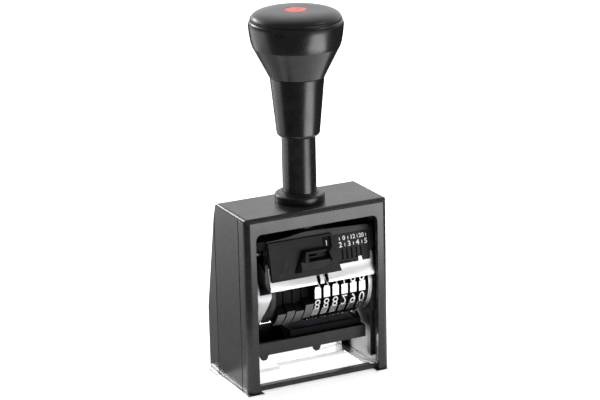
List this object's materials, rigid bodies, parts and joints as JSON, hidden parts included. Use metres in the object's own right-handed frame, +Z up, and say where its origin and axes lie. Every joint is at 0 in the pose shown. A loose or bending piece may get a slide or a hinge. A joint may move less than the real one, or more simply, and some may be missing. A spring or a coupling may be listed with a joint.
{
  "type": "numbering machine",
  "caption": "Hand numbering machine with a round plunger knob, a black housing with a front window, number wheels and an inking pad that swings clear.",
  "frame": {"origin": "middle of the outer box on the table plane, under the base plate", "axes": "+Z up along the plunger, +X to the right seen from the window, +Y to the back, with the window on the -Y side"},
  "size_m": [0.0686, 0.0462, 0.1587],
  "materials": {
    "housing": "gloss",
    "front_cover": "gloss",
    "base_steel": "satin",
    "screw_steel": "satin",
    "tube_black": "gloss",
    "rail_black": "satin",
    "handle_black": "gloss",
    "cap_black": "gloss",
    "red_disc": "gloss",
    "rod_steel": "polished",
    "nut_brass": "satin",
    "spring_steel": "satin",
    "carriage_black": "satin",
    "dial_black": "matte",
    "bright_plate": "polished",
    "wheel_steel": "polished",
    "blank_black": "satin",
    "rocker_steel": "satin",
    "tray_black": "satin",
    "ink_felt": "matte"
  },
  "bodies": {
    "frame": {"housing": "housing", "front_cover": "front_cover", "base_plate": "base_steel", "base_screws": "screw_steel", "guide_tube": "tube_black", "collar_nut": "tube_black", "left_guide_rail": "rail_black", "right_guide_rail": "rail_black", "pad_pivot_pins": "screw_steel"},
    "plunger": {"knob": "handle_black", "knob_cap": "cap_black", "knob_disc": "red_disc", "handle_sleeve": "handle_black", "plunger_rod": "rod_steel", "rod_nut": "nut_brass", "return_spring": "spring_steel", "carriage_frame": "carriage_black", "dial_plate": "dial_black", "front_bar": "bright_plate", "left_side_plate": "bright_plate", "right_side_plate": "bright_plate", "wheel_axle": "rod_steel", "axle_clips": "screw_steel", "spacer_ring": "carriage_black", "tie_rod": "rod_steel", "detent_comb": "spring_steel"},
    "number_wheel_1": {"number_wheel_1": "wheel_steel"},
    "number_wheel_2": {"number_wheel_2": "wheel_steel"},
    "number_wheel_3": {"number_wheel_3": "wheel_steel"},
    "number_wheel_4": {"number_wheel_4": "wheel_steel"},
    "number_wheel_5": {"number_wheel_5": "wheel_steel"},
    "number_wheel_6": {"number_wheel_6": "wheel_steel"},
    "blank_wheel_1": {"blank_wheel_1": "blank_black"},
    "blank_wheel_2": {"blank_wheel_2": "blank_black"},
    "blank_wheel_3": {"blank_wheel_3": "blank_black"},
    "blank_wheel_4": {"blank_wheel_4": "blank_black"},
    "rocker": {"rocker_frame": "rocker_steel", "pawl_shaft": "rod_steel", "pawl_spring": "spring_steel"},
    "pawl": {"feed_pawl": "rocker_steel"},
    "pad_carrier": {"pad_tray": "tray_black", "left_pad_arm": "tray_black", "right_pad_arm": "tray_black", "pad_holder": "tray_black", "ink_pad": "ink_felt"},
    "selector": {"selector_slide": "dial_black"}
  },
  "joints": [
    {"name": "plunger_slide", "type": "slide", "parent": "frame", "child": "plunger", "axis": [0, 0, -1], "range_m": [0, 0.0233], "stiffness_N_per_m": 600, "springref_m": -0.02, "deforming": ["return_spring"]},
    {"name": "number_wheel_1_spin", "type": "hinge", "parent": "plunger", "child": "number_wheel_1", "pos_m": [0, -0.00082, 0.0391], "axis": [1, 0, 0], "continuous": true},
    {"name": "number_wheel_2_spin", "type": "hinge", "parent": "plunger", "child": "number_wheel_2", "pos_m": [0, -0.00082, 0.0391], "axis": [1, 0, 0], "continuous": true},
    {"name": "number_wheel_3_spin", "type": "hinge", "parent": "plunger", "child": "number_wheel_3", "pos_m": [0, -0.00082, 0.0391], "axis": [1, 0, 0], "continuous": true},
    {"name": "number_wheel_4_spin", "type": "hinge", "parent": "plunger", "child": "number_wheel_4", "pos_m": [0, -0.00082, 0.0391], "axis": [1, 0, 0], "continuous": true},
    {"name": "number_wheel_5_spin", "type": "hinge", "parent": "plunger", "child": "number_wheel_5", "pos_m": [0, -0.00082, 0.0391], "axis": [1, 0, 0], "continuous": true},
    {"name": "number_wheel_6_spin", "type": "hinge", "parent": "plunger", "child": "number_wheel_6", "pos_m": [0, -0.00082, 0.0391], "axis": [1, 0, 0], "continuous": true},
    {"name": "blank_wheel_1_spin", "type": "hinge", "parent": "plunger", "child": "blank_wheel_1", "pos_m": [0, -0.00082, 0.0391], "axis": [1, 0, 0], "continuous": true},
    {"name": "blank_wheel_2_spin", "type": "hinge", "parent": "plunger", "child": "blank_wheel_2", "pos_m": [0, -0.00082, 0.0391], "axis": [1, 0, 0], "continuous": true},
    {"name": "blank_wheel_3_spin", "type": "hinge", "parent": "plunger", "child": "blank_wheel_3", "pos_m": [0, -0.00082, 0.0391], "axis": [1, 0, 0], "continuous": true},
    {"name": "blank_wheel_4_spin", "type": "hinge", "parent": "plunger", "child": "blank_wheel_4", "pos_m": [0, -0.00082, 0.0391], "axis": [1, 0, 0], "continuous": true},
    {"name": "rocker_swing", "type": "hinge", "parent": "plunger", "child": "rocker", "pos_m": [0, -0.00082, 0.0391], "axis": [-1, 0, 0], "range_deg": [0, 38]},
    {"name": "pawl_swing", "type": "hinge", "parent": "rocker", "child": "pawl", "pos_m": [0, 0.00541, 0.0562], "axis": [1, 0, 0], "range_deg": [0, 6], "stiffness_Nm_per_rad": 0.01, "springref_deg": -5.73},
    {"name": "pad_swing", "type": "hinge", "parent": "frame", "child": "pad_carrier", "pos_m": [0, 0.01368, 0.0355], "axis": [1, 0, 0], "range_deg": [0, 87]},
    {"name": "selector_slide_joint", "type": "slide", "parent": "plunger", "child": "selector", "axis": [1, 0, 0], "range_m": [0, 0.01672]}
  ],
  "couplings": [
    {"joint": "rocker_swing", "follows": "plunger_slide", "rad_per_m": 28.465},
    {"joint": "pad_swing", "follows": "plunger_slide", "rad_per_m": 65.169}
  ]
}
